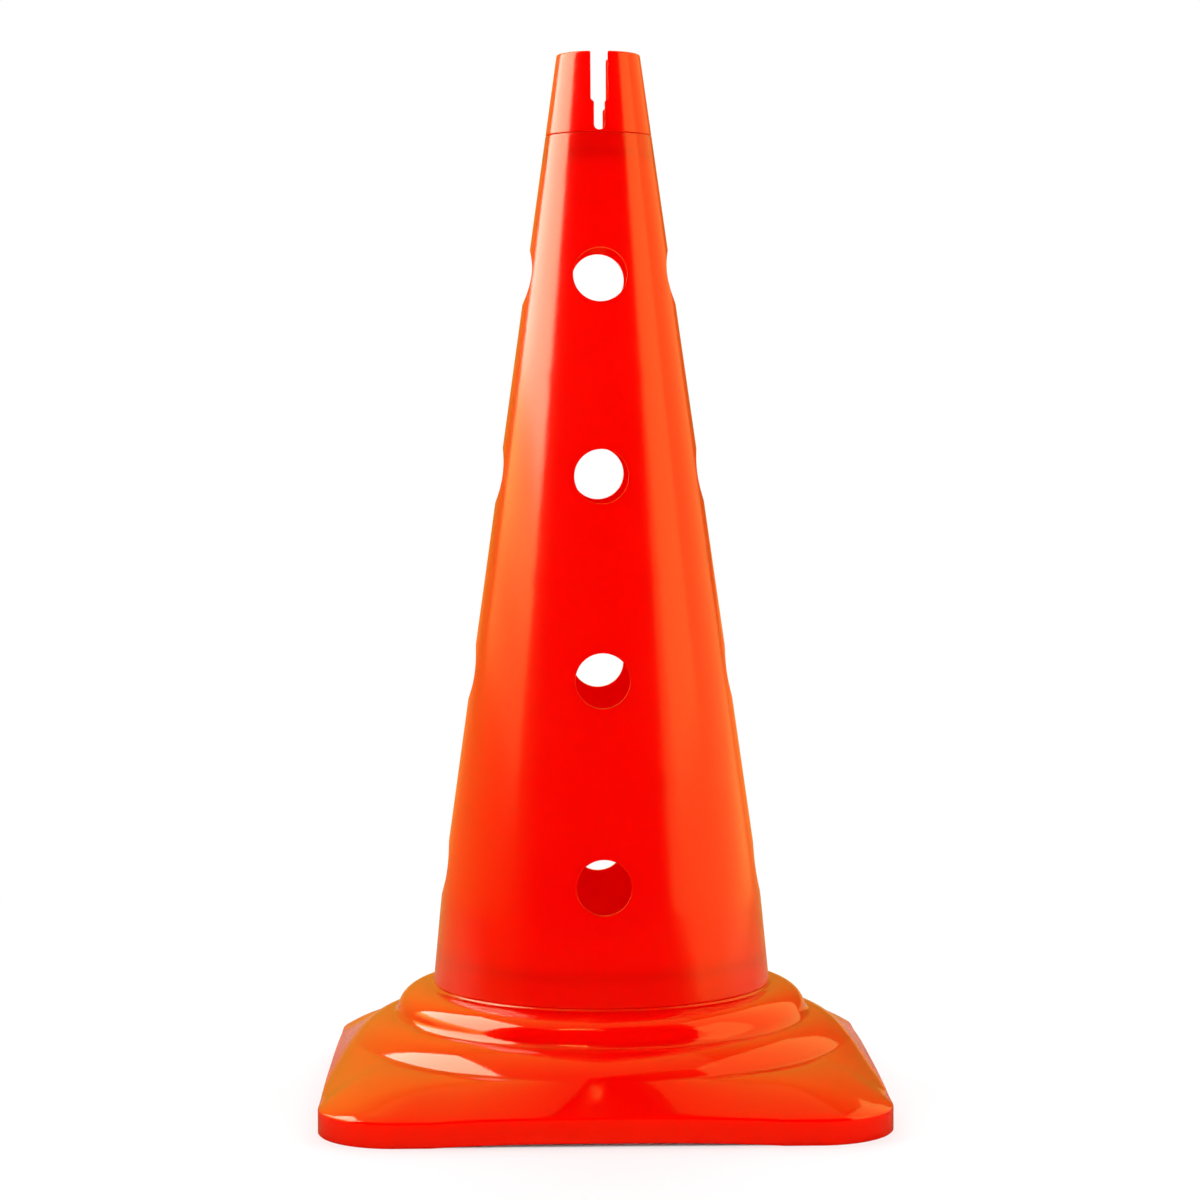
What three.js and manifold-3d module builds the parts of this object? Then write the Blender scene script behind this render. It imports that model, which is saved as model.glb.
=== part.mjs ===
// Training cone: slotted tip, tapered body with pole holes, stepped square base.
// Millimetres, +Z up, standing on z = 0, axis on x = y = 0.

import * as THREE from "three";
import { mergeVertices } from "three/addons/utils/BufferGeometryUtils.js";
import Module from "manifold-3d";

// Overall sizes and fits
const HEIGHT = 508;
const WALL = 2.4;
const FIT_GAP = 0.3;
const SHELL_SEGMENTS = 80;
const TIP_SEGMENTS = 64;

// Tapered shell: outer diameters at the rim, at the top of the foot band and at the foot
const TIP_DIAMETER = 40.6;
const BAND_DIAMETER = 157.6;
const FOOT_DIAMETER = 165.9;
const BAND_HEIGHT = 43;

// Tip piece: rounded rim, stepped slot front and back, spigot into the body
const RIM_ROUND = 0.9;
const SLOT_WIDE = 8.2;
const SLOT_WIDE_DEPTH = 23.3;
const SLOT_NARROW = 5.1;
const SLOT_DEPTH = 38.3;
const SLOT_FOOT_LAND = 0.9;
const SLOT_ROUND_STEPS = 12;
const TIP_SPIGOT_LENGTH = 14;
const TIP_SPIGOT_WALL = 1.9;

// Pole holes: rows of four, each drilled straight through with the one opposite
const HOLE_DIAMETER = 26;
const HOLE_PITCH = 96.6;
const LOW_HOLE_RISE = 13.2;
const HOLE_TOP_LAND = 20;
const HOLE_SEGMENTS = 32;

// Snap joints: a bead near the spigot's end, in a groove of the shell around it
const BEAD_HEIGHT = 4;
const BEAD_DEPTH = 0.9;
const BEAD_END_LAND = 2.2;

// Base: spigot that the cone's foot slips over
const SPIGOT_HEIGHT = 19;
const SPIGOT_WALL = 2.2;
const SPIGOT_LEAD = 1.2;

// Base: widths across each form, from the cone's foot outwards
const COLLAR_WIDTH = 2.25;
const UPPER_RING_WIDTH = 15.3;
const VALLEY_WIDTH = 2.4;
const LOWER_RING_WIDTH = 19.1;
const SKIRT_WIDTH = 9.8;
const CORNER_RADIUS = 37;

// Base: heights of each form, from the floor upwards
const RIM_HEIGHT = 12.8;
const RIM_EDGE_ROUND = 2.2;
const SKIRT_RISE = 14.5;
const LOWER_RING_RISE = 11.7;
const VALLEY_RISE = 3.5;
const UPPER_RING_RISE = 10.1;
const COLLAR_RISE = 1.1;

// Base: slopes of its forms in degrees below level, and how long a bend keeps to them
const COLLAR_SLOPE = 75;
const UPPER_TOP_SLOPE = 3;
const UPPER_SIDE_SLOPE = 74;
const FLARE_SLOPE = 42;
const LOWER_TOP_SLOPE = 8;
const LOWER_SIDE_SLOPE = 50;
const BEND_FULLNESS = 0.65;

// Base: how much the skirt swells towards its corners
const CORNER_SWELL = 0.8;

// Base: feet at the corners, with the rim lifted between them
const FOOT_RISE = 1.7;
const FOOT_LENGTH = 16;
const FOOT_RISE_POWER = 3;

// Base: steps around each quarter, and across each form outside and inside
const SIDE_STEPS = 6;
const CORNER_STEPS = 8;
const OUTER_STEPS = { collar: 2, ring: 6, valley: 3, skirt: 4, edge: 2 };
const INNER_STEPS = { collar: 1, ring: 3, valley: 1, skirt: 2, edge: 1 };

const RED = 0xf01a04;
const ROUGHNESS = 0.28;

// Heights that follow from the stack of forms
const LOWER_RING_LOW_Z = RIM_HEIGHT + SKIRT_RISE;
const VALLEY_Z = LOWER_RING_LOW_Z + LOWER_RING_RISE;
const UPPER_RING_LOW_Z = VALLEY_Z + VALLEY_RISE;
const COLLAR_Z = UPPER_RING_LOW_Z + UPPER_RING_RISE;
const SEAT_Z = COLLAR_Z + COLLAR_RISE;
const FOOT_Z = SEAT_Z + FIT_GAP;
const BAND_TOP_Z = FOOT_Z + BAND_HEIGHT;
const SPIGOT_TOP_Z = FOOT_Z + SPIGOT_HEIGHT;
const TIP_JOINT_Z = HEIGHT - SLOT_DEPTH - SLOT_FOOT_LAND;
const TIP_LOW_Z = TIP_JOINT_Z - TIP_SPIGOT_LENGTH;
const BODY_TOP_Z = TIP_JOINT_Z - FIT_GAP;

// Radii that follow from the same stack
const FOOT_RADIUS = FOOT_DIAMETER / 2;
const COLLAR_RADIUS = FOOT_RADIUS + COLLAR_WIDTH;
const UPPER_RING_RADIUS = COLLAR_RADIUS + UPPER_RING_WIDTH;
const VALLEY_RADIUS = UPPER_RING_RADIUS + VALLEY_WIDTH;
const LOWER_RING_RADIUS = VALLEY_RADIUS + LOWER_RING_WIDTH;
const BASE_HALF = LOWER_RING_RADIUS + SKIRT_WIDTH + RIM_EDGE_ROUND;
const CORNER_CENTRE = BASE_HALF - CORNER_RADIUS;
const CORNER_REACH = Math.SQRT2 - (Math.SQRT2 - 1) * (CORNER_RADIUS / BASE_HALF);

const QUARTER = Math.PI / 2;

const wasm = await Module();
wasm.setup();

// Closed body of a geometry, ready for cutting.
function solid(geometry) {
  const bare = geometry.clone();
  bare.deleteAttribute("normal");
  bare.deleteAttribute("uv");
  const merged = mergeVertices(bare, 1e-4);
  return new wasm.Manifold(new wasm.Mesh({
    numProp: 3,
    vertProperties: new Float32Array(merged.attributes.position.array),
    triVerts: new Uint32Array(merged.index.array),
  }));
}

// Named mesh of a finished body.
function piece(name, body) {
  const data = body.getMesh();
  const geometry = new THREE.BufferGeometry();
  geometry.setAttribute("position", new THREE.Float32BufferAttribute(data.vertProperties, 3));
  geometry.setIndex(new THREE.Uint32BufferAttribute(data.triVerts, 1));
  geometry.computeVertexNormals();
  const plastic = { color: RED, roughness: ROUGHNESS, metalness: 0 };
  const mesh = new THREE.Mesh(geometry, new THREE.MeshStandardMaterial(plastic));
  mesh.name = name;
  return mesh;
}

// Body of revolution about Z from a closed loop of [radius, height] points.
function turned(loop, segments) {
  const points = [...loop, loop[0]].map(([r, z]) => new THREE.Vector2(r, z));
  const geometry = new THREE.LatheGeometry(points, segments);
  geometry.rotateX(QUARTER);
  return solid(geometry);
}

// Points of an arc in the [radius, height] plane.
function arc(centreR, centreZ, radius, from, to, steps) {
  return Array.from({ length: steps + 1 }, (_, i) => {
    const a = from + ((to - from) * i) / steps;
    return [centreR + radius * Math.cos(a), centreZ + radius * Math.sin(a)];
  });
}

// Radius of the shell's outer surface at height z: a steeper band at the foot, one taper above.
function shellRadius(z) {
  if (z < BAND_TOP_Z) {
    const up = (z - FOOT_Z) / BAND_HEIGHT;
    return (FOOT_DIAMETER + (BAND_DIAMETER - FOOT_DIAMETER) * up) / 2;
  }
  const up = (z - BAND_TOP_Z) / (HEIGHT - BAND_TOP_Z);
  return (BAND_DIAMETER + (TIP_DIAMETER - BAND_DIAMETER) * up) / 2;
}

// Radius of the shell's inner surface at height z.
function boreRadius(z) {
  return shellRadius(z) - WALL;
}

// Radius of a spigot that fits inside the shell at height z.
function spigotRadius(z) {
  return boreRadius(z) - FIT_GAP;
}

// Heights and swells of a snap bead whose middle is at height z, from low to high.
function beadSteps(z) {
  return [
    { z: z - BEAD_HEIGHT / 2, swell: 0 },
    { z: z - BEAD_HEIGHT / 6, swell: BEAD_DEPTH },
    { z: z + BEAD_HEIGHT / 6, swell: BEAD_DEPTH },
    { z: z + BEAD_HEIGHT / 2, swell: 0 },
  ];
}

const TIP_BEAD = beadSteps(TIP_LOW_Z + BEAD_END_LAND + BEAD_HEIGHT / 2);
const FOOT_BEAD = beadSteps(SPIGOT_TOP_Z - SPIGOT_LEAD - BEAD_END_LAND - BEAD_HEIGHT / 2);

// Slotted tip: short tapered tube with a rounded rim, a snap spigot below and the slot.
function slottedTip() {
  const roundZ = HEIGHT - RIM_ROUND;
  const rimOuter = shellRadius(roundZ);
  const rimInner = boreRadius(roundZ);
  const spigotInner = (z) => spigotRadius(z) - TIP_SPIGOT_WALL;
  const loop = [
    [spigotRadius(TIP_LOW_Z), TIP_LOW_Z],
    ...TIP_BEAD.map((b) => [spigotRadius(b.z) + b.swell, b.z]),
    [spigotRadius(TIP_JOINT_Z), TIP_JOINT_Z],
    [shellRadius(TIP_JOINT_Z), TIP_JOINT_Z],
    ...arc(rimOuter - RIM_ROUND, roundZ, RIM_ROUND, 0, QUARTER, 3),
    ...arc(rimInner + RIM_ROUND, roundZ, RIM_ROUND, QUARTER, 2 * QUARTER, 3),
    [boreRadius(TIP_JOINT_Z + WALL), TIP_JOINT_Z + WALL],
    [spigotInner(TIP_JOINT_Z), TIP_JOINT_Z],
    [spigotInner(TIP_LOW_Z), TIP_LOW_Z],
  ];
  return turned(loop, TIP_SEGMENTS).subtract(slotCutter());
}

// Cutter for the slot: wide mouth, sloping shoulders, narrow throat with a round foot.
function slotCutter() {
  const wide = SLOT_WIDE / 2;
  const narrow = SLOT_NARROW / 2;
  const shoulderZ = HEIGHT - SLOT_WIDE_DEPTH;
  const throatZ = shoulderZ - (wide - narrow);
  const roundZ = HEIGHT - SLOT_DEPTH + narrow;
  const outline = new THREE.Shape();
  outline.moveTo(wide, HEIGHT + WALL);
  outline.lineTo(-wide, HEIGHT + WALL);
  outline.lineTo(-wide, shoulderZ);
  outline.lineTo(-narrow, throatZ);
  outline.absarc(0, roundZ, narrow, 2 * QUARTER, 4 * QUARTER, false);
  outline.lineTo(narrow, throatZ);
  outline.lineTo(wide, shoulderZ);
  const depth = 2 * FOOT_DIAMETER;
  const options = { depth, bevelEnabled: false, curveSegments: SLOT_ROUND_STEPS };
  const geometry = new THREE.ExtrudeGeometry(outline, options);
  geometry.translate(0, 0, -depth / 2);
  geometry.rotateX(QUARTER);
  return solid(geometry);
}

// Cone body: tapered shell, snap grooves inside both ends, rows of pole holes.
function coneBody() {
  const outer = [FOOT_Z, BAND_TOP_Z, BODY_TOP_Z].map((z) => [shellRadius(z), z]);
  const groove = (b) => [boreRadius(b.z) + b.swell, b.z];
  const inner = [
    [boreRadius(FOOT_Z), FOOT_Z],
    ...FOOT_BEAD.map(groove),
    [boreRadius(BAND_TOP_Z), BAND_TOP_Z],
    ...TIP_BEAD.map(groove),
    [boreRadius(BODY_TOP_Z), BODY_TOP_Z],
  ];
  let body = turned([...outer, ...inner.reverse()], SHELL_SEGMENTS);
  const highest = TIP_LOW_Z - HOLE_TOP_LAND - HOLE_DIAMETER / 2;
  for (let z = BAND_TOP_Z + LOW_HOLE_RISE; z <= highest; z += HOLE_PITCH) {
    body = body.subtract(poleDrill(z, 0)).subtract(poleDrill(z, QUARTER));
  }
  return body;
}

// Cutter for two opposite pole holes at height z.
function poleDrill(z, turn) {
  const radius = HOLE_DIAMETER / 2;
  const geometry = new THREE.CylinderGeometry(radius, radius, 2 * FOOT_DIAMETER, HOLE_SEGMENTS);
  geometry.rotateZ(turn);
  geometry.translate(0, 0, z);
  return solid(geometry);
}

// Base: spigot, collar, two stepped rings, skirt and rim as one closed wall.
function baseSkirt() {
  const spigotInner = (z) => spigotRadius(z) - SPIGOT_WALL;
  const leadZ = SPIGOT_TOP_Z - SPIGOT_LEAD;
  const outer = baseRings(OUTER_STEPS);
  const inner = baseRings(INNER_STEPS).slice(INNER_STEPS.collar).map(innerRing).reverse();
  const foot = { half: BASE_HALF, corner: CORNER_RADIUS, z: 0, square: 1 };
  return ringWall([
    { r: spigotInner(SPIGOT_TOP_Z), z: SPIGOT_TOP_Z },
    { r: spigotRadius(SPIGOT_TOP_Z) - SPIGOT_LEAD / 2, z: SPIGOT_TOP_Z },
    { r: spigotRadius(leadZ), z: leadZ },
    ...FOOT_BEAD.map((b) => ({ r: spigotRadius(b.z) + b.swell, z: b.z })).reverse(),
    { r: spigotRadius(SEAT_Z), z: SEAT_Z },
    ...outer,
    foot,
    { ...innerRing(foot), z: 0 },
    ...inner,
    { r: spigotInner(COLLAR_Z - WALL), z: COLLAR_Z - WALL },
  ]);
}

// Rings of the base's outside, from the cone's foot out and down to the rim's face.
// Each has a radius where it is round, a half-width and corner radius where it is square,
// in square the share of the square form, and in fall the drop that goes with it.
function baseRings(steps) {
  const foot = { r: FOOT_RADIUS, z: SEAT_Z };
  const collar = { r: COLLAR_RADIUS, z: COLLAR_Z };
  const upper = { r: UPPER_RING_RADIUS, z: UPPER_RING_LOW_Z };
  const valley = { r: VALLEY_RADIUS, z: VALLEY_Z };
  const lower = { r: LOWER_RING_RADIUS, z: LOWER_RING_LOW_Z };
  return [
    foot,
    ...bendSteps(foot, collar, COLLAR_SLOPE, UPPER_TOP_SLOPE, steps.collar),
    ...bendSteps(collar, upper, UPPER_TOP_SLOPE, UPPER_SIDE_SLOPE, steps.ring),
    ...bendSteps(upper, valley, UPPER_SIDE_SLOPE, FLARE_SLOPE, steps.valley),
    ...bendSteps(valley, lower, LOWER_TOP_SLOPE, LOWER_SIDE_SLOPE, steps.ring),
    ...skirtSteps(steps.skirt),
    ...edgeSteps(steps.edge),
  ];
}

// Curve outwards and down from one slope to another, first point left out.
function bendSteps(start, end, startSlope, endSlope, steps) {
  const startFall = Math.tan(THREE.MathUtils.degToRad(startSlope));
  const endFall = Math.tan(THREE.MathUtils.degToRad(endSlope));
  const across = (start.z - end.z + endFall * (start.r - end.r)) / (startFall - endFall);
  const from = new THREE.Vector2(start.r, start.z);
  const to = new THREE.Vector2(end.r, end.z);
  const corner = new THREE.Vector2(start.r + across, start.z - startFall * across);
  const near = from.clone().lerp(corner, BEND_FULLNESS);
  const far = to.clone().lerp(corner, BEND_FULLNESS);
  const points = new THREE.CubicBezierCurve(from, near, far, to).getPoints(steps);
  return points.slice(1).map((p) => ({ r: p.x, z: p.y }));
}

// Skirt from the round lower ring to the square rim, first ring left out.
function skirtSteps(steps) {
  return Array.from({ length: steps }, (_, i) => {
    const square = (i + 1) / steps;
    const half = BASE_HALF - RIM_EDGE_ROUND;
    const corner = CORNER_RADIUS - RIM_EDGE_ROUND;
    return { r: LOWER_RING_RADIUS, half, corner, z: LOWER_RING_LOW_Z, fall: SKIRT_RISE, square };
  });
}

// Round over the rim's upper edge, first ring left out.
function edgeSteps(steps) {
  return Array.from({ length: steps }, (_, i) => {
    const a = (QUARTER * (i + 1)) / steps;
    const back = RIM_EDGE_ROUND * (1 - Math.sin(a));
    const drop = RIM_EDGE_ROUND * (1 - Math.cos(a));
    return { half: BASE_HALF - back, corner: CORNER_RADIUS - back, z: RIM_HEIGHT - drop, square: 1 };
  });
}

// The ring moved inwards and down by the wall thickness.
function innerRing(ring) {
  const { r = 0, half = 0, corner = 0 } = ring;
  return { ...ring, r: r - WALL, half: half - WALL, corner: corner - WALL, z: ring.z - WALL };
}

// Closed wall through a loop of rings.
function ringWall(rings) {
  const directions = baseDirections();
  const count = directions.length;
  const positions = [];
  const index = [];
  rings.forEach((ring, j) => {
    const next = ((j + 1) % rings.length) * count;
    directions.forEach((angle, i) => {
      const { out, z } = ringPoint(ring, angle);
      positions.push(out * Math.cos(angle), out * Math.sin(angle), z);
      const a = j * count + i;
      const b = j * count + ((i + 1) % count);
      const c = next + ((i + 1) % count);
      const d = next + i;
      index.push(a, d, c, a, c, b);
    });
  });
  const geometry = new THREE.BufferGeometry();
  geometry.setAttribute("position", new THREE.Float32BufferAttribute(positions, 3));
  geometry.setIndex(index);
  return solid(geometry);
}

// Distance from the axis and height of a ring, seen in one direction.
function ringPoint({ r, half, corner, z, square = 0, fall = 0 }, angle) {
  if (square === 0) {
    return { out: r, z };
  }
  const round = square < 1 ? r * (1 - square) : 0;
  const reach = squareReach(half, corner, angle);
  const swell = (CORNER_SWELL * (reach / half - 1)) / (CORNER_REACH - 1);
  const drop = fall * square ** (1 + swell);
  return { out: round + reach * square, z: z + square * sideLift(angle) - drop };
}

// Directions around the base: even steps along each side and round each corner.
function baseDirections() {
  const side = (i) => Math.atan2((CORNER_CENTRE * i) / SIDE_STEPS, BASE_HALF);
  const corner = (i) => {
    const a = (QUARTER * i) / CORNER_STEPS;
    const x = CORNER_CENTRE + CORNER_RADIUS * Math.cos(a);
    const y = CORNER_CENTRE + CORNER_RADIUS * Math.sin(a);
    return Math.atan2(y, x);
  };
  const quarter = [
    ...Array.from({ length: SIDE_STEPS }, (_, i) => side(i)),
    ...Array.from({ length: CORNER_STEPS }, (_, i) => corner(i)),
    ...Array.from({ length: SIDE_STEPS }, (_, i) => QUARTER - side(SIDE_STEPS - i)),
  ];
  return [0, 1, 2, 3].flatMap((k) => quarter.map((a) => a + k * QUARTER));
}

// Distance from the axis to a rounded square, seen in one direction.
function squareReach(half, corner, angle) {
  const c = Math.abs(Math.cos(angle));
  const s = Math.abs(Math.sin(angle));
  const flat = half / Math.max(c, s);
  const core = half - corner;
  if (Math.min(c, s) * flat <= core) {
    return flat;
  }
  const along = core * (c + s);
  return along + Math.sqrt(along * along - 2 * core * core + corner * corner);
}

// Lift of the rim between two corner feet, seen in one direction.
function sideLift(angle) {
  const c = Math.abs(Math.cos(angle));
  const s = Math.abs(Math.sin(angle));
  const along = (BASE_HALF * Math.min(c, s)) / Math.max(c, s);
  const reach = CORNER_CENTRE - FOOT_LENGTH;
  return FOOT_RISE * (1 - Math.min(1, along / reach) ** FOOT_RISE_POWER);
}

const cone = new THREE.Group();
cone.name = "training_cone";
cone.add(piece("slotted_tip", slottedTip()));
cone.add(piece("cone_body", coneBody()));
cone.add(piece("base_skirt", baseSkirt()));

export default cone;
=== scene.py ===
# Training cone: finer skins of its three mouldings, red plastic, studio light and camera.
# Sizes are in millimetres in the frame's axes, and become metres where a mesh is made.

import math

import bmesh
import bpy
from mathutils import Matrix, Vector


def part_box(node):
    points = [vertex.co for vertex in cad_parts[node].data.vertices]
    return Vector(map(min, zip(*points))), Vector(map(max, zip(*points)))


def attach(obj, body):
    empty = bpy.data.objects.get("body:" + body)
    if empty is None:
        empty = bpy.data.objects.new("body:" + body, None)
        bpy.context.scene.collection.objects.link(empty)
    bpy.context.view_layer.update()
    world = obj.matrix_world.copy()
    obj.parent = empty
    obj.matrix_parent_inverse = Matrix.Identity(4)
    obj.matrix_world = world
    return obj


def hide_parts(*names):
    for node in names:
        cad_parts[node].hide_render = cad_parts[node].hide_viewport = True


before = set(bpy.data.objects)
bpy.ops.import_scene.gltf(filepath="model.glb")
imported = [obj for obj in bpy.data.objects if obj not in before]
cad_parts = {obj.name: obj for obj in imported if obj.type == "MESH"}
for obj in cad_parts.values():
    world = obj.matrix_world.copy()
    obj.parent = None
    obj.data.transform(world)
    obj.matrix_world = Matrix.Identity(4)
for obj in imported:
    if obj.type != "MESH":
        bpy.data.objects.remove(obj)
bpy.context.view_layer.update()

MM = 0.001
QUARTER = math.pi / 2


def frame_mm(node):
    """Lowest and highest corner of a CAD node, in millimetres."""
    return [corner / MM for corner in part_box(node)]


# Places taken from the frame
TIP_LOW, TIP_HIGH = frame_mm("slotted_tip")
BODY_LOW, BODY_HIGH = frame_mm("cone_body")
BASE_HIGH = frame_mm("base_skirt")[1]
HEIGHT = TIP_HIGH.z
FOOT_Z = BODY_LOW.z
FOOT_RADIUS = BODY_HIGH.x
BODY_TOP_Z = BODY_HIGH.z
BASE_HALF = BASE_HIGH.x
SPIGOT_TOP_Z = BASE_HIGH.z

# Walls and fits
WALL = 2.4
FIT_GAP = 0.3
EDGE_ROUND = 0.45
EDGE_STEPS = 4
SUPPORT = 0.4
MERGE_GAP = 0.005

# Tapered shell
TIP_RADIUS = 20.3
BAND_RADIUS = 78.8
BAND_HEIGHT = 43
BAND_TOP_Z = FOOT_Z + BAND_HEIGHT
BAND_BLEND = 5
BAND_STEPS = 4
SHELL_STEPS = 32

# Pole holes
HOLE_RADIUS = 13
HOLE_PITCH = 96.6
LOW_HOLE_RISE = 13.2
LOW_HOLE_Z = BAND_TOP_Z + LOW_HOLE_RISE
HOLE_ROWS = 4
PANEL_RINGS = 12
PANEL_CROWDING = 1.4
LOW_PANEL_LAND = 2
LOW_PANEL_Z = SPIGOT_TOP_Z + LOW_PANEL_LAND

# Slotted tip, with half widths of its slot
RIM_ROUND = 0.9
RIM_STEPS = 5
SLOT_WIDE = 4.1
SLOT_WIDE_DEPTH = 23.3
SLOT_NARROW = 2.55
SLOT_DEPTH = 38.3
SLOT_STEPS = {"foot": 8, "throat": 6, "mouth": 10}
SHOULDER_Z = HEIGHT - SLOT_WIDE_DEPTH
SHOULDER_LAND = 0.3
SHOULDER_INSET = 0.1
SLOT_FOOT_Z = HEIGHT - SLOT_DEPTH
TIP_JOINT_Z = BODY_TOP_Z + FIT_GAP
TIP_EDGE_ROUND = 0.25
TIP_EDGE_STEPS = 3
TIP_SPIGOT_WALL = 1.9
TIP_STEPS = 48

# Snap beads on the two spigots
BEAD_HEIGHT = 4
BEAD_DEPTH = 0.9
BEAD_END_LAND = 2.2
TIP_BEAD_Z = TIP_LOW.z + BEAD_END_LAND + BEAD_HEIGHT / 2
SPIGOT_LEAD = 1.2
FOOT_BEAD_Z = SPIGOT_TOP_Z - SPIGOT_LEAD - BEAD_END_LAND - BEAD_HEIGHT / 2
SPIGOT_WALL = 2.2

# Base: widths and rises of its forms, from the cone's foot outwards and down
COLLAR_WIDTH = 2.25
COLLAR_RISE = 1.1
UPPER_RING_WIDTH = 15.3
UPPER_RING_RISE = 10.1
VALLEY_WIDTH = 2.4
VALLEY_RISE = 3.5
LOWER_RING_WIDTH = 19.1
LOWER_RING_RISE = 11.7
SKIRT_RISE = 14.5

# Base: radii and heights that follow, and slopes in degrees below level
SEAT_Z = FOOT_Z - FIT_GAP
COLLAR_RADIUS = FOOT_RADIUS + COLLAR_WIDTH
COLLAR_Z = SEAT_Z - COLLAR_RISE
UPPER_RING_RADIUS = COLLAR_RADIUS + UPPER_RING_WIDTH
UPPER_RING_Z = COLLAR_Z - UPPER_RING_RISE
VALLEY_RADIUS = UPPER_RING_RADIUS + VALLEY_WIDTH
VALLEY_Z = UPPER_RING_Z - VALLEY_RISE
LOWER_RING_RADIUS = VALLEY_RADIUS + LOWER_RING_WIDTH
LOWER_RING_Z = VALLEY_Z - LOWER_RING_RISE
COLLAR_SLOPE = 75
UPPER_TOP_SLOPE = 3
UPPER_SIDE_SLOPE = 74
FLARE_SLOPE = 42
LOWER_TOP_SLOPE = 8
LOWER_SIDE_SLOPE = 50
BEND_FULLNESS = 0.65
CORNER_SWELL = 0.8
CREASE_SHARE = 0.02

# Base: rim, corners and the feet that the rim lifts between
RIM_HEIGHT = LOWER_RING_Z - SKIRT_RISE
RIM_EDGE_ROUND = 2.2
RIM_EDGE_START = math.radians(45)
CORNER_RADIUS = 37
FOOT_RISE = 1.7
FOOT_LENGTH = 16
FOOT_RISE_POWER = 3
CORNER_REACH = math.sqrt(2) - (math.sqrt(2) - 1) * CORNER_RADIUS / BASE_HALF
SIDE_STEPS = 24
CORNER_STEPS = 28
BASE_STEPS = {"collar": 5, "ring": 18, "valley": 8, "skirt": 10, "edge": 6}

# Camera, as the photograph was taken through a long lens: degrees and millimetres
CAMERA_TURN = -1.164
CAMERA_DISTANCE = 1554.1
CAMERA_HEIGHT = 326.8
CAMERA_PITCH = 3.13
CAMERA_ROLL = -0.2
CAMERA_LENS = 94.82
SENSOR = 36

# Red plastic: colours, and how far light scatters in it, in metres
RED_TONES = [(0.0, (0.92, 0.0006, 0.0002)), (1.0, (0.98, 0.002, 0.0004))]
GLOSS_TINT = (1.0, 0.9, 0.55, 1)
SCATTER_SHARES = (1.0, 0.15, 0.05)
SCATTER_REACH = 0.009
BODY_ROUGHNESS = 0.17
BASE_ROUGHNESS = 0.055
GRAIN_SPREAD = 0.03
PLASTIC_IOR = 1.5
BUMP_STRENGTH = 0.06
BUMP_DEPTH = 0.0002

# Noise in the plastic: scale and detail of each, the stretch of it in use, and a place for each piece
FLOW_NOISE = (14, 4)
GRAIN_NOISE = (420, 3)
BUMP_NOISE = (900, 2)
NOISE_STRETCH = (0.3, 0.7)
TIP_SEED = 0.0
BODY_SEED = 1.7
BASE_SEED = 3.9

# Studio, in metres; the floor inside the base doesn't glow
CAMERA_SIGHT = 200
WHITE = (1, 1, 1, 1)
WARM = (1.0, 0.85, 0.25)
STUDIO_YELLOW = (1.0, 0.85, 0.08, 1)
FLOOR_HALF = 60.0
FLOOR_GREY = (0.9, 0.9, 0.9, 1)
FLOOR_DEPTHS = (-0.2, 0.6)
# Floor colours that reflections see, front to back: warm, darker in front as painted shade, pinker
# just behind the cone as painted red light from the cone
FLOOR_PAINTED_LIGHT = [(0.0, (0.12, 0.1, 0.03)), (0.55, (0.5, 0.27, 0.19)), (1.0, (0.35, 0.29, 0.08))]
GLOW_REACH = (0.25, 0.75)
GLOW_SHARES = (0.55, 1.0)
INSIDE_HALF = 0.132
INSIDE_REACH = 0.16
FAR_DEPTHS = (0.7, 1.5)
FAR_GLOW = (1.0, 0.45, 0.07, 1)

# Studio walls in reflections: start and end of a direction, and the strength at each
STUDIO_LEAN = (0.0, 1.0, -0.4)
STUDIO_DEPTHS = (-0.65, 0.5, 0.0, 1.0)
STUDIO_HEIGHTS = (0.0, 0.65, 0.5, 1.1)
STUDIO_SIDES = (-0.3, 0.4, 1.0, 0.45)


class Skin:
    """Points and faces of one piece, gathered sheet by sheet."""

    def __init__(self):
        self.points = []
        self.faces = []

    def sheet(self, rows, closed=True):
        """Adds quads between rows of points; closed joins the ends of each row."""
        start = len(self.points)
        width = len(rows[0])
        for row in rows:
            self.points.extend(row)
        for j in range(len(rows) - 1):
            for i in range(width if closed else width - 1):
                a = start + j * width + i
                b = start + j * width + (i + 1) % width
                self.faces.append((a, b, b + width, a + width))

    def patch(self, row):
        """Adds one face through a row of points."""
        start = len(self.points)
        self.points.extend(row)
        self.faces.append(tuple(range(start, start + len(row))))

    def piece(self, name, node, slot, material):
        """Makes the piece that stands for a CAD node."""
        mesh = bpy.data.meshes.new(name)
        mesh.from_pydata([Vector(p) * MM for p in self.points], [], self.faces)
        shape = bmesh.new()
        shape.from_mesh(mesh)
        bmesh.ops.remove_doubles(shape, verts=shape.verts, dist=MERGE_GAP * MM)
        bmesh.ops.recalc_face_normals(shape, faces=shape.faces)
        shape.to_mesh(mesh)
        shape.free()
        mesh.shade_smooth()
        mesh.materials.append(material)
        piece = bpy.data.objects.new(name, mesh)
        bpy.context.scene.collection.objects.link(piece)
        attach(piece, "root")
        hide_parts(node)


def shell_radius(z):
    """Outer radius of the shell: a steep band at the foot bends softly into the long taper."""
    low = (BAND_RADIUS - FOOT_RADIUS) / (BAND_TOP_Z - FOOT_Z)
    high = (TIP_RADIUS - BAND_RADIUS) / (HEIGHT - BAND_TOP_Z)
    rise = z - BAND_TOP_Z
    bend = math.hypot(rise, BAND_BLEND)
    return BAND_RADIUS + (low + high) / 2 * rise + (high - low) / 2 * bend


def bore_radius(z):
    """Inner radius of the shell."""
    return shell_radius(z) - WALL


def spigot_radius(z):
    """Outer radius of a spigot inside the shell."""
    return bore_radius(z) - FIT_GAP


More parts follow.
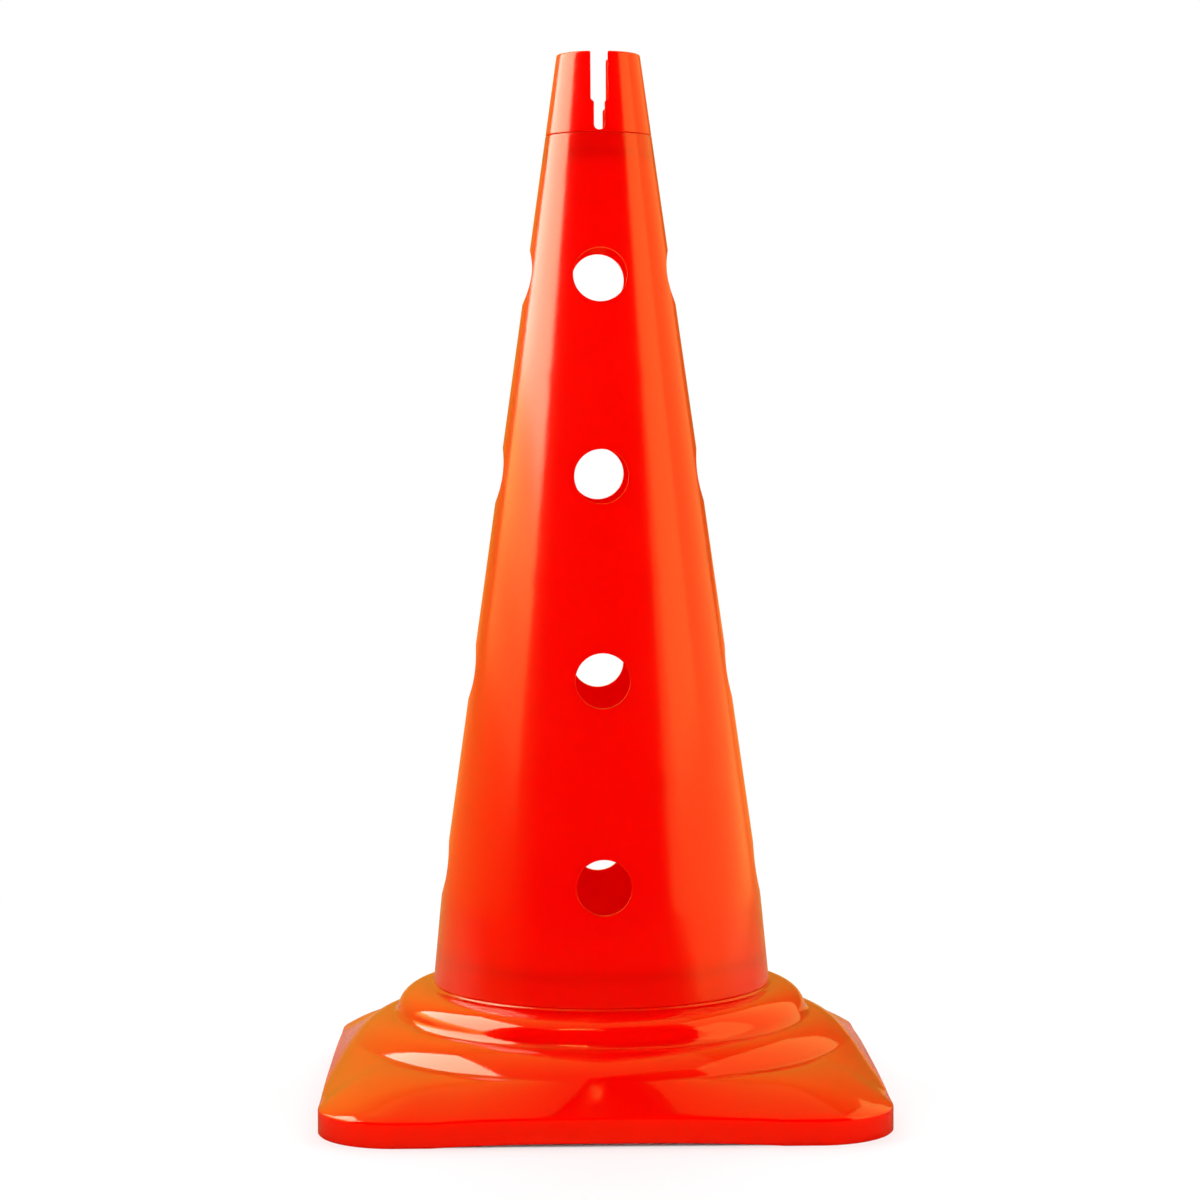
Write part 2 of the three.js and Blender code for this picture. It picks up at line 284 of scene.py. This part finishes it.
def bead_steps(z):
    """Heights and swells of a snap bead with its middle at height z, from low to high."""
    half, third = BEAD_HEIGHT / 2, BEAD_HEIGHT / 6
    return [(z - half, 0), (z - third, BEAD_DEPTH), (z + third, BEAD_DEPTH), (z + half, 0)]


def steps(count):
    """Even shares from 0 to 1."""
    return [i / count for i in range(count + 1)]


def arc(centre, radius, start, end, count):
    """Points of an arc in a plane, from angle start to angle end."""
    angles = [start + (end - start) * t for t in steps(count)]
    return [(centre[0] + radius * math.cos(a), centre[1] + radius * math.sin(a)) for a in angles]


def facing_point(facing, out, across, z):
    """Point at a distance out along a level direction, and across it to the left."""
    c, s = math.cos(facing), math.sin(facing)
    return (out * c - across * s, out * s + across * c, z)


def ring(radius, z, count, start=0.0):
    """Points of a level circle about the axis."""
    return [facing_point(start + 2 * math.pi * i / count, radius, 0, z) for i in range(count)]


def body_skin():
    """Tapered shell: a panel round each pole hole, and plain bands at both ends."""
    skin = Skin()
    heights = [LOW_HOLE_Z + HOLE_PITCH * i for i in range(HOLE_ROWS)]
    for hole_z in heights:
        low_z = max(LOW_PANEL_Z, hole_z - HOLE_PITCH / 2)
        for side in range(4):
            skin.sheet(hole_panel(side * QUARTER, hole_z, low_z, hole_z + HOLE_PITCH / 2))
    count = 4 * SHELL_STEPS
    high_z = heights[-1] + HOLE_PITCH / 2
    for profile in (foot_profile(LOW_PANEL_Z), top_profile(high_z)):
        skin.sheet([ring(r, z, count, -QUARTER / 2) for r, z in profile])
    return skin


def hole_panel(facing, hole_z, low_z, high_z):
    """Rows of points from a panel's outer edge to its hole, through the bore, and out again inside."""
    edge = panel_edge(hole_z, low_z, high_z)

    def wall_point(radius_at, angle, z):
        return facing_point(facing + angle, radius_at(z), 0, z)

    def bore_row(radius_at, reach, sink):
        row = []
        for turn, _, _ in edge:
            across = reach * math.cos(turn)
            z = hole_z + reach * math.sin(turn)
            out = math.sqrt(radius_at(z) ** 2 - across ** 2)
            row.append(facing_point(facing, out - sink, across, z))
        return row

    def panel_rows(radius_at):
        rows = []
        reach = HOLE_RADIUS + EDGE_ROUND + SUPPORT
        for t in steps(PANEL_RINGS):
            share = t ** PANEL_CROWDING
            row = []
            for turn, edge_angle, edge_z in edge:
                z = hole_z + reach * math.sin(turn)
                angle = math.asin(reach * math.cos(turn) / radius_at(z))
                row.append(wall_point(
                    radius_at,
                    angle + (edge_angle - angle) * share,
                    z + (edge_z - z) * share,
                ))
            rows.append(row)
        return rows

    def round_rows(radius_at, inward):
        rows = []
        for t in steps(EDGE_STEPS):
            a = t * QUARTER
            reach = HOLE_RADIUS + EDGE_ROUND * (1 - math.sin(a))
            rows.append(bore_row(radius_at, reach, inward * EDGE_ROUND * (1 - math.cos(a))))
        return rows

    outside = panel_rows(shell_radius)[::-1] + round_rows(shell_radius, 1)
    inside = panel_rows(bore_radius)[::-1] + round_rows(bore_radius, -1)
    return outside + inside[::-1]


def panel_edge(hole_z, low_z, high_z):
    """Points round a panel's edge: turn about the hole, angle about the axis and height."""
    shares = [2 * i / SHELL_STEPS - 1 for i in range(SHELL_STEPS)]
    square = [(t, -1) for t in shares] + [(1, t) for t in shares]
    square += [(-u, -v) for u, v in square]
    edge = []
    for u, v in square:
        z = hole_z + v * (high_z - hole_z if v > 0 else hole_z - low_z)
        edge.append((math.atan2(v, u), u * QUARTER / 2, z))
    return edge


def foot_profile(top_z):
    """Radii and heights down the outside of the shell's foot, round its edge and up inside."""
    outside = [top_z + (FOOT_Z + EDGE_ROUND + SUPPORT - top_z) * t for t in steps(BAND_STEPS)]
    r = shell_radius(FOOT_Z + EDGE_ROUND)
    inner = bore_radius(FOOT_Z)
    groove = [(bore_radius(z) + swell, z) for z, swell in bead_steps(FOOT_BEAD_Z)]
    return (
        [(shell_radius(z), z) for z in outside]
        + arc((r - EDGE_ROUND, FOOT_Z + EDGE_ROUND), EDGE_ROUND, 0, -QUARTER, EDGE_STEPS)
        + [(inner + SUPPORT, FOOT_Z), (inner, FOOT_Z + SUPPORT)]
        + groove
        + [(bore_radius(top_z), top_z)]
    )


def top_profile(low_z):
    """Radii and heights down inside the shell's top, from its upper edge, and round to the outside."""
    groove = [(bore_radius(z) + swell, z) for z, swell in bead_steps(TIP_BEAD_Z)]
    edge_z = BODY_TOP_Z - EDGE_ROUND
    r = shell_radius(edge_z)
    return (
        [(bore_radius(low_z), low_z)]
        + groove
        + [(bore_radius(BODY_TOP_Z), BODY_TOP_Z)]
        + arc((r - EDGE_ROUND, edge_z), EDGE_ROUND, QUARTER, 0, EDGE_STEPS)
        + [(shell_radius(z), z) for z in (edge_z - SUPPORT, (edge_z + low_z) / 2, low_z)]
    )


def tip_skin():
    """Slotted tip: two half shells between the slots, and the whole ring and spigot below."""
    skin = Skin()
    outline = slot_outline()
    rows = [half_loop(*step) for step in outline]
    edge_w, edge_z = outline[-1][:2]
    for t in steps(RIM_STEPS)[1:]:
        a = t * QUARTER
        inset = RIM_ROUND * (1 - math.cos(a))
        rows.append(half_loop(edge_w, edge_z + RIM_ROUND * math.sin(a), 1, 0, inset))
    top = rows[-1]
    outer = top[:TIP_STEPS + 1]
    flank = len(top) // 2 - TIP_STEPS - 1
    inner = top[TIP_STEPS + 1 + flank:2 * TIP_STEPS + 2 + flank]
    for side in (1, -1):
        skin.sheet([mirrored(row, side) for row in rows])
        skin.sheet([mirrored(outer, side), mirrored(inner[::-1], side)], closed=False)
        skin.patch(mirrored(top[TIP_STEPS:TIP_STEPS + flank + 2], side))
        skin.patch(mirrored(top[2 * TIP_STEPS + 1 + flank:] + top[:1], side))
    low = outline[0][1] - EDGE_ROUND
    profile = tip_low_profile(low)
    skin.sheet([ring(r, z, 2 * TIP_STEPS, -QUARTER) for r, z in profile])
    return skin


def mirrored(row, side):
    """The row of points for side 1, or its mirror image across the slots for side -1."""
    return [(x * side, y, z) for x, y, z in row]


def slot_outline():
    """Half widths, heights and outward normals up one side of the slot, from its round foot."""
    centre_z = SLOT_FOOT_Z + SLOT_NARROW
    slope = math.sqrt(0.5)
    throat_z = SHOULDER_Z - (SLOT_WIDE - SLOT_NARROW)
    top_z = HEIGHT - RIM_ROUND
    points = []
    for t in steps(SLOT_STEPS["foot"]):
        a = t * QUARTER
        w = SLOT_NARROW * math.sin(a)
        points.append((w, centre_z - SLOT_NARROW * math.cos(a), math.sin(a), -math.cos(a)))
    for t in steps(SLOT_STEPS["throat"])[1:]:
        points.append((SLOT_NARROW, centre_z + (throat_z - SHOULDER_LAND - centre_z) * t, 1, 0))
    points.append((SLOT_NARROW + SHOULDER_INSET, throat_z + SHOULDER_INSET, slope, -slope))
    points.append((SLOT_WIDE - SHOULDER_INSET, SHOULDER_Z - SHOULDER_INSET, slope, -slope))
    for t in steps(SLOT_STEPS["mouth"]):
        z = SHOULDER_Z + SHOULDER_LAND + (top_z - SHOULDER_Z - SHOULDER_LAND) * t
        points.append((SLOT_WIDE, z, 1, 0))
    return points


def half_loop(width, z, normal_w, normal_z, inset=0.0):
    """Loop round one half of the tip's wall at one step of the slot's outline."""
    def flank(radius_at, inward):
        row = []
        for t in steps(EDGE_STEPS):
            a = t * QUARTER
            back = EDGE_ROUND * (1 - math.sin(a)) + inset
            w = width + normal_w * back
            h = z + normal_z * back
            radius = radius_at(h) - inward * inset
            out = math.sqrt(radius ** 2 - w ** 2) - inward * EDGE_ROUND * (1 - math.cos(a))
            row.append((w, -out, h))
        return row

    def face(radius_at, inward):
        back = EDGE_ROUND + inset
        h = z + normal_z * back
        radius = radius_at(h) - inward * inset
        start = math.asin((width + normal_w * back) / radius)
        angles = [start + (math.pi - 2 * start) * t for t in steps(TIP_STEPS)]
        return [(radius * math.sin(a), -radius * math.cos(a), h) for a in angles]

    def behind(row):
        return [(x, -y, h) for x, y, h in row]

    outer_flank = flank(shell_radius, 1)[1:]
    inner_flank = flank(bore_radius, -1)[1:]
    front = inner_flank + outer_flank[::-1]
    back = behind(outer_flank) + behind(inner_flank)[::-1]
    return face(shell_radius, 1) + back + face(bore_radius, -1)[::-1] + front


def tip_low_profile(top_z):
    """Radii and heights down the tip's outside below the slot, round its spigot and up inside."""
    edge_z = TIP_JOINT_Z + TIP_EDGE_ROUND
    edge_r = shell_radius(edge_z) - TIP_EDGE_ROUND
    bead = [(spigot_radius(z) + swell, z) for z, swell in bead_steps(TIP_BEAD_Z)]
    low_z = TIP_LOW.z

    def spigot_inner(z):
        return spigot_radius(z) - TIP_SPIGOT_WALL

    return (
        [(shell_radius(top_z), top_z)]
        + arc((edge_r, edge_z), TIP_EDGE_ROUND, 0, -QUARTER, TIP_EDGE_STEPS)
        + [(spigot_radius(TIP_JOINT_Z), TIP_JOINT_Z)]
        + bead[::-1]
        + [(spigot_radius(low_z), low_z), (spigot_inner(low_z), low_z)]
        + [(spigot_inner(TIP_JOINT_Z - WALL), TIP_JOINT_Z - WALL)]
        + [(bore_radius(top_z), top_z)]
    )


def base_skin():
    """Base: spigot, collar, two stepped rings, skirt and rim, with an even wall."""
    skin = Skin()
    lead_z = SPIGOT_TOP_Z - SPIGOT_LEAD
    bead = [(spigot_radius(z) + swell, z) for z, swell in bead_steps(FOOT_BEAD_Z)]
    outside = base_rings()
    rim = outside[-1]
    foot = [dict(rim, z=z) for z in (2 * EDGE_ROUND, EDGE_ROUND)]
    foot += [dict(inner_ring(rim, EDGE_ROUND), z=0), dict(inner_ring(rim, WALL), z=0)]
    inside = [inner_ring(step, WALL) for step in outside[BASE_STEPS["collar"]:]]
    spigot_inner = spigot_radius(COLLAR_Z) - SPIGOT_WALL
    rows = (
        [{"r": spigot_radius(SPIGOT_TOP_Z) - SPIGOT_WALL, "z": SPIGOT_TOP_Z}]
        + [{"r": spigot_radius(SPIGOT_TOP_Z) - SPIGOT_LEAD / 2, "z": SPIGOT_TOP_Z}]
        + [{"r": spigot_radius(lead_z), "z": lead_z}]
        + [{"r": r, "z": z} for r, z in bead[::-1]]
        + [{"r": spigot_radius(SEAT_Z), "z": SEAT_Z}]
        + outside + foot + inside[::-1]
        + [{"r": spigot_inner, "z": COLLAR_Z - WALL}]
    )
    angles = base_directions()
    loops = [base_loop(step, angles) for step in rows]
    skin.sheet(loops + loops[:1])
    return skin


def base_rings():
    """Rings of the base's outside, from the cone's foot out and down to the rim's face.

    Each holds a radius where it is round, a half width and corner radius where it is
    square, and in square the share of the square form.
    """
    foot = (FOOT_RADIUS, SEAT_Z)
    collar = (COLLAR_RADIUS, COLLAR_Z)
    upper = (UPPER_RING_RADIUS, UPPER_RING_Z)
    valley = (VALLEY_RADIUS, VALLEY_Z)
    lower = (LOWER_RING_RADIUS, LOWER_RING_Z)
    profile = (
        [foot]
        + bend_steps(foot, collar, COLLAR_SLOPE, UPPER_TOP_SLOPE, BASE_STEPS["collar"])
        + bend_steps(collar, upper, UPPER_TOP_SLOPE, UPPER_SIDE_SLOPE, BASE_STEPS["ring"])
        + bend_steps(upper, valley, UPPER_SIDE_SLOPE, FLARE_SLOPE, BASE_STEPS["valley"])
        + bend_steps(valley, lower, LOWER_TOP_SLOPE, LOWER_SIDE_SLOPE, BASE_STEPS["ring"])
    )
    rings = [{"r": r, "z": z} for r, z in profile]
    edge_centre = (-RIM_EDGE_ROUND, RIM_HEIGHT - RIM_EDGE_ROUND)
    edge = arc(edge_centre, RIM_EDGE_ROUND, QUARTER - RIM_EDGE_START, 0, BASE_STEPS["edge"])
    edge_reach, edge_z = edge[0]
    for t in [CREASE_SHARE] + steps(BASE_STEPS["skirt"])[1:]:
        rings.append({
            "r": LOWER_RING_RADIUS,
            "half": BASE_HALF + edge_reach,
            "corner": CORNER_RADIUS + edge_reach,
            "z": LOWER_RING_Z,
            "fall": LOWER_RING_Z - edge_z,
            "square": t,
        })
    for reach, z in edge[1:]:
        rings.append({
            "half": BASE_HALF + reach,
            "corner": CORNER_RADIUS + reach,
            "z": z,
            "square": 1,
        })
    return rings


def bend_steps(start, end, start_slope, end_slope, count):
    """Curve outwards and down between two slopes in degrees below level, first point left out."""
    (r0, z0), (r1, z1) = start, end
    fall0, fall1 = (math.tan(math.radians(slope)) for slope in (start_slope, end_slope))
    corner_r = (z0 - z1 + fall0 * r0 - fall1 * r1) / (fall0 - fall1)
    corner = (corner_r, z0 - fall0 * (corner_r - r0))
    near = [a + (b - a) * BEND_FULLNESS for a, b in zip(start, corner)]
    far = [a + (b - a) * BEND_FULLNESS for a, b in zip(end, corner)]
    points = []
    for t in steps(count)[1:]:
        u = 1 - t
        weights = (u ** 3, 3 * u * u * t, 3 * u * t * t, t ** 3)
        ends = zip(start, near, far, end)
        points.append(tuple(sum(w * c for w, c in zip(weights, axis)) for axis in ends))
    return points


def inner_ring(step, wall):
    """The ring moved inwards and down by a wall's thickness."""
    moved = dict(step, z=step["z"] - wall)
    for name in ("r", "half", "corner"):
        if name in step:
            moved[name] = step[name] - wall
    return moved


def base_loop(step, angles):
    """Points of one ring of the base."""
    square = step.get("square", 0)
    row = []
    for angle in angles:
        out = step["r"] * (1 - square) if square < 1 else 0
        z = step["z"]
        if square:
            reach = square_reach(step["half"], step["corner"], angle)
            swell = CORNER_SWELL * (reach / step["half"] - 1) / (CORNER_REACH - 1)
            out += reach * square
            z += side_lift(angle) * square - step.get("fall", 0) * square ** (1 + swell)
        row.append(facing_point(angle, out, 0, z))
    return row


def base_directions():
    """Directions round the base: even steps along each side and round each corner."""
    centre = BASE_HALF - CORNER_RADIUS
    side = [math.atan2(centre * t, BASE_HALF) for t in steps(SIDE_STEPS)]
    corner = []
    for t in steps(CORNER_STEPS):
        x = centre + CORNER_RADIUS * math.cos(t * QUARTER)
        y = centre + CORNER_RADIUS * math.sin(t * QUARTER)
        corner.append(math.atan2(y, x))
    quarter = side[:-1] + corner + [QUARTER - a for a in side[1:-1][::-1]]
    return [a + k * QUARTER for k in range(4) for a in quarter]


def square_reach(half, corner, angle):
    """Distance from the axis to a rounded square, seen in one direction."""
    c, s = abs(math.cos(angle)), abs(math.sin(angle))
    flat = half / max(c, s)
    core = half - corner
    if min(c, s) * flat <= core:
        return flat
    along = core * (c + s)
    return along + math.sqrt(along ** 2 - 2 * core ** 2 + corner ** 2)


def side_lift(angle):
    """Lift of the rim between two corner feet, seen in one direction."""
    c, s = abs(math.cos(angle)), abs(math.sin(angle))
    along = BASE_HALF * min(c, s) / max(c, s)
    reach = BASE_HALF - CORNER_RADIUS - FOOT_LENGTH
    return FOOT_RISE * (1 - min(1, along / reach) ** FOOT_RISE_POWER)


def red_plastic(name, roughness, seed):
    """Glossy red moulded plastic: faint flow marks in its colour, fine grain in its gloss."""
    material = bpy.data.materials.new(name)
    material.use_nodes = True
    tree = material.node_tree
    shader = tree.nodes["Principled BSDF"]
    shader.inputs["IOR"].default_value = PLASTIC_IOR
    shader.inputs["Specular IOR Level"].default_value = 1.0
    shader.inputs["Specular Tint"].default_value = GLOSS_TINT
    shader.inputs["Subsurface Weight"].default_value = 1.0
    shader.inputs["Subsurface Radius"].default_value = SCATTER_SHARES
    shader.inputs["Subsurface Scale"].default_value = SCATTER_REACH
    place = tree.nodes.new("ShaderNodeTexCoord")
    offset = tree.nodes.new("ShaderNodeMapping")
    offset.inputs["Location"].default_value = (seed, seed, seed)
    tree.links.new(place.outputs["Object"], offset.inputs["Vector"])

    def noise(scale, detail):
        node = tree.nodes.new("ShaderNodeTexNoise")
        node.inputs["Scale"].default_value = scale
        node.inputs["Detail"].default_value = detail
        tree.links.new(offset.outputs["Vector"], node.inputs["Vector"])
        return node.outputs["Fac"]

    flow = ramp(tree, noise(*FLOW_NOISE), *NOISE_STRETCH, 0.0, 1.0)
    tree.links.new(tones(tree, flow, RED_TONES), shader.inputs["Base Color"])
    low, high = roughness - GRAIN_SPREAD, roughness + GRAIN_SPREAD
    gloss = ramp(tree, noise(*GRAIN_NOISE), *NOISE_STRETCH, low, high)
    tree.links.new(gloss, shader.inputs["Roughness"])
    grain = tree.nodes.new("ShaderNodeBump")
    grain.inputs["Strength"].default_value = BUMP_STRENGTH
    grain.inputs["Distance"].default_value = BUMP_DEPTH
    tree.links.new(noise(*BUMP_NOISE), grain.inputs["Height"])
    tree.links.new(grain.outputs["Normal"], shader.inputs["Normal"])
    return material


def ramp(tree, value, start, end, first, last):
    """Output that runs from first to last while value runs from start to end."""
    node = tree.nodes.new("ShaderNodeMapRange")
    settings = {"From Min": start, "From Max": end, "To Min": first, "To Max": last}
    for name, setting in settings.items():
        node.inputs[name].default_value = setting
    tree.links.new(value, node.inputs["Value"])
    return node.outputs["Result"]


def tones(tree, value, stops):
    """Colour that runs through stops of position and colour while value runs from 0 to 1."""
    node = tree.nodes.new("ShaderNodeValToRGB")
    elements = node.color_ramp.elements
    for stop in stops[1:-1]:
        elements.new(stop[0])
    for element, (position, colour) in zip(elements, stops):
        element.position = position
        element.color = (*colour, 1)
    tree.links.new(value, node.inputs["Fac"])
    return node.outputs["Color"]


def maths(tree, operation, *values):
    """Output of a calculation on outputs or plain numbers."""
    node = tree.nodes.new("ShaderNodeMath")
    node.operation = operation
    for socket, value in zip(node.inputs, values):
        if isinstance(value, float):
            socket.default_value = value
        else:
            tree.links.new(value, socket)
    return node.outputs["Value"]


def blend(tree, share, first, second):
    """Shader that goes from first to second as share goes from 0 to 1."""
    node = tree.nodes.new("ShaderNodeMixShader")
    for socket, output in zip(node.inputs, (share, first, second)):
        tree.links.new(output, socket)
    return node.outputs["Shader"]


def axes(tree, vector):
    """Outputs for the three axes of a vector."""
    node = tree.nodes.new("ShaderNodeSeparateXYZ")
    tree.links.new(vector, node.inputs["Vector"])
    return node.outputs


def ray_kind(tree, name):
    """1 for rays of the named kind, 0 for all others."""
    return tree.nodes.new("ShaderNodeLightPath").outputs[name]


def by_ray(tree, name, data_type, others, shown):
    """Number or colour that rays of the named kind see, and another one for all other rays."""
    node = tree.nodes.new("ShaderNodeMix")
    node.data_type = data_type
    tree.links.new(ray_kind(tree, name), node.inputs["Factor"])
    for socket, value in (("A", others), ("B", shown)):
        if isinstance(value, tuple):
            node.inputs[socket].default_value = value
        else:
            tree.links.new(value, node.inputs[socket])
    return node.outputs["Result"]


def white_floor():
    """Pale floor, white to the camera apart from the cone's shadow, and clear from below.

    Reflections see it warm, with painted shade making it darker in front and painted red light from
    the cone making it pinker just behind the cone. Far behind the cone it glows.
    """
    mesh = bpy.data.meshes.new("floor")
    corners = [(-FLOOR_HALF, -FLOOR_HALF), (FLOOR_HALF, -FLOOR_HALF)]
    corners += [(-x, -y) for x, y in corners]
    mesh.from_pydata([(x, y, 0) for x, y in corners], [], [(0, 1, 2, 3)])
    floor = bpy.data.objects.new("floor", mesh)
    bpy.context.scene.collection.objects.link(floor)
    material = bpy.data.materials.new("floor_white")
    material.use_nodes = True
    mesh.materials.append(material)
    tree = material.node_tree
    tree.nodes.clear()
    place = tree.nodes.new("ShaderNodeTexCoord").outputs["Object"]
    sideways, behind, _ = axes(tree, place)
    depth = ramp(tree, behind, *FLOOR_DEPTHS, 0.0, 1.0)
    lit = tree.nodes.new("ShaderNodeBsdfDiffuse")
    # Reflections see the floor in painted light: painted shade in front, painted red light from the
    # cone just behind it
    painted_light_tone = by_ray(tree, "Is Glossy Ray", "RGBA", FLOOR_GREY, tones(tree, depth, FLOOR_PAINTED_LIGHT))
    tree.links.new(painted_light_tone, lit.inputs["Color"])

    away = tree.nodes.new("ShaderNodeVectorMath")
    away.operation = "LENGTH"
    tree.links.new(place, away.inputs[0])
    distance = away.outputs["Value"]
    shown = ramp(tree, distance, *GLOW_REACH, *GLOW_SHARES)
    widest = maths(tree, "MAXIMUM", *(maths(tree, "ABSOLUTE", side) for side in (sideways, behind)))
    past_sides = maths(tree, "GREATER_THAN", widest, INSIDE_HALF)
    past_corners = maths(tree, "GREATER_THAN", distance, INSIDE_REACH)
    shown = maths(tree, "MULTIPLY", shown, maths(tree, "MAXIMUM", past_sides, past_corners))
    far = ramp(tree, behind, *FAR_DEPTHS, 0.0, 1.0)
    glow = tree.nodes.new("ShaderNodeEmission")
    tree.links.new(by_ray(tree, "Is Camera Ray", "RGBA", FAR_GLOW, WHITE), glow.inputs["Color"])
    share = by_ray(tree, "Is Camera Ray", "FLOAT", far, shown)
    seen = blend(tree, share, lit.outputs["BSDF"], glow.outputs["Emission"])
    under = tree.nodes.new("ShaderNodeNewGeometry").outputs["Backfacing"]
    clear = tree.nodes.new("ShaderNodeBsdfTransparent").outputs["BSDF"]
    output = tree.nodes.new("ShaderNodeOutputMaterial")
    tree.links.new(blend(tree, under, seen, clear), output.inputs["Surface"])


def white_world():
    """White backdrop to the camera; in reflections a warm studio, dark on the camera's side."""
    world = bpy.data.worlds.new("studio")
    bpy.context.scene.world = world
    world.cycles_visibility.diffuse = False
    world.use_nodes = True
    tree = world.node_tree
    tree.nodes.clear()
    towards = tree.nodes.new("ShaderNodeTexCoord").outputs["Generated"]
    lean = tree.nodes.new("ShaderNodeVectorMath")
    lean.operation = "DOT_PRODUCT"
    lean.inputs[1].default_value = STUDIO_LEAN
    tree.links.new(towards, lean.inputs[0])
    depth = ramp(tree, lean.outputs["Value"], *STUDIO_DEPTHS)
    height = ramp(tree, axes(tree, towards)["Z"], *STUDIO_HEIGHTS)
    side = ramp(tree, axes(tree, towards)["X"], *STUDIO_SIDES)
    strength = maths(tree, "MULTIPLY", maths(tree, "MULTIPLY", depth, height), side)

    def background(colour):
        node = tree.nodes.new("ShaderNodeBackground")
        node.inputs["Color"].default_value = colour
        return node

    studio = background(STUDIO_YELLOW)
    tree.links.new(strength, studio.inputs["Strength"])
    sides = [node.outputs["Background"] for node in (studio, background(WHITE))]
    output = tree.nodes.new("ShaderNodeOutputWorld")
    tree.links.new(blend(tree, ray_kind(tree, "Is Camera Ray"), *sides), output.inputs["Surface"])


def softbox(name, place, aim, size, radiance, colour=(1, 1, 1), roll=0.0, fill=False):
    """Rectangular area light at a place in metres, facing the point aim, rolled about its axis.

    A fill lights surfaces and stays out of their gloss. Any other lamp shows in the gloss alone.
    """
    light = bpy.data.lights.new(name, "AREA")
    light.shape = "RECTANGLE"
    light.size, light.size_y = size
    light.energy = radiance * math.pi * light.size * light.size_y
    light.color = colour
    lamp = bpy.data.objects.new(name, light)
    facing = (Vector(aim) - Vector(place)).to_track_quat("-Z", "Y").to_matrix().to_4x4()
    turn = Matrix.Rotation(math.radians(roll), 4, "Z")
    lamp.matrix_world = Matrix.Translation(place) @ facing @ turn
    lamp.visible_glossy = not fill
    lamp.visible_diffuse = fill
    lamp.visible_camera = False
    bpy.context.scene.collection.objects.link(lamp)


def studio_lights():
    """Panels that show in the gloss alone, and fills that light the plastic but don't show in it."""
    softbox("left_box", (-1.2, 0.275, 1.305), (0, 0.275, 1.305), (1.45, 1.49), 4.8)
    softbox("left_edge", (-1.2, 0.275, 0.49), (0, 0.275, 0.49), (1.45, 0.14), 2.1, WARM)
    softbox("left_foot", (-1.2, 0.275, 0.36), (0, 0.275, 0.36), (1.45, 0.12), 0.9, WARM)
    softbox("right_box", (1.2, 0.56, 1.0), (0, 0.56, 1.0), (2.4, 2.6), 0.72, WARM, roll=-21.5)
    softbox("right_inner", (1.15, -0.34, 0.8), (0, -0.34, 0.8), (0.68, 1.0), 0.7, WARM)
    softbox("ceiling", (-0.27, 0.25, 1.9), (-0.27, 0.25, 0), (2.2, 1.75), 0.22, WARM, roll=30)
    softbox("tube", (-0.32, -0.82, 1.85), (-0.32, -0.82, 0), (0.59, 0.02), 30.0, WARM, roll=-10)
    softbox("left_fill", (-1.4, 0.15, 0.9), (0, 0, 0.25), (1.6, 1.6), 2.5, fill=True)
    softbox("right_fill", (1.4, 0.15, 0.9), (0, 0, 0.25), (1.6, 1.6), 2.5, fill=True)
    softbox("front_fill", (0, -1.7, 0.5), (0, 0, 0.2), (1.8, 0.9), 5.8, fill=True)
    softbox("back_fill", (0, 1.7, 1.0), (0, 0, 0.25), (1.8, 1.4), 4.4, fill=True)
    softbox("top_fill", (0, 0.3, 1.9), (0, 0, 0), (2.0, 2.0), 0.7, fill=True)


def camera():
    """Camera at the photograph's viewing angle."""
    data = bpy.data.cameras.new("camera")
    data.lens = CAMERA_LENS
    data.sensor_width = SENSOR
    data.clip_end = CAMERA_SIGHT
    viewer = bpy.data.objects.new("camera", data)
    turn = Matrix.Rotation(math.radians(CAMERA_TURN), 4, "Z")
    place = Matrix.Translation((0, -CAMERA_DISTANCE * MM, CAMERA_HEIGHT * MM))
    tilt = Matrix.Rotation(QUARTER - math.radians(CAMERA_PITCH), 4, "X")
    roll = Matrix.Rotation(math.radians(CAMERA_ROLL), 4, "Z")
    viewer.matrix_world = turn @ place @ tilt @ roll
    bpy.context.scene.collection.objects.link(viewer)
    bpy.context.scene.camera = viewer


tip_red = red_plastic("tip_red", BODY_ROUGHNESS, TIP_SEED)
body_red = red_plastic("body_red", BODY_ROUGHNESS, BODY_SEED)
base_red = red_plastic("base_red", BASE_ROUGHNESS, BASE_SEED)
tip_skin().piece("slotted_tip_skin", "slotted_tip", "tip_plastic", tip_red)
body_skin().piece("cone_body_skin", "cone_body", "body_plastic", body_red)
base_skin().piece("base_skirt_skin", "base_skirt", "base_plastic", base_red)

white_floor()
white_world()
studio_lights()
camera()
bpy.context.scene.view_settings.view_transform = "Standard"
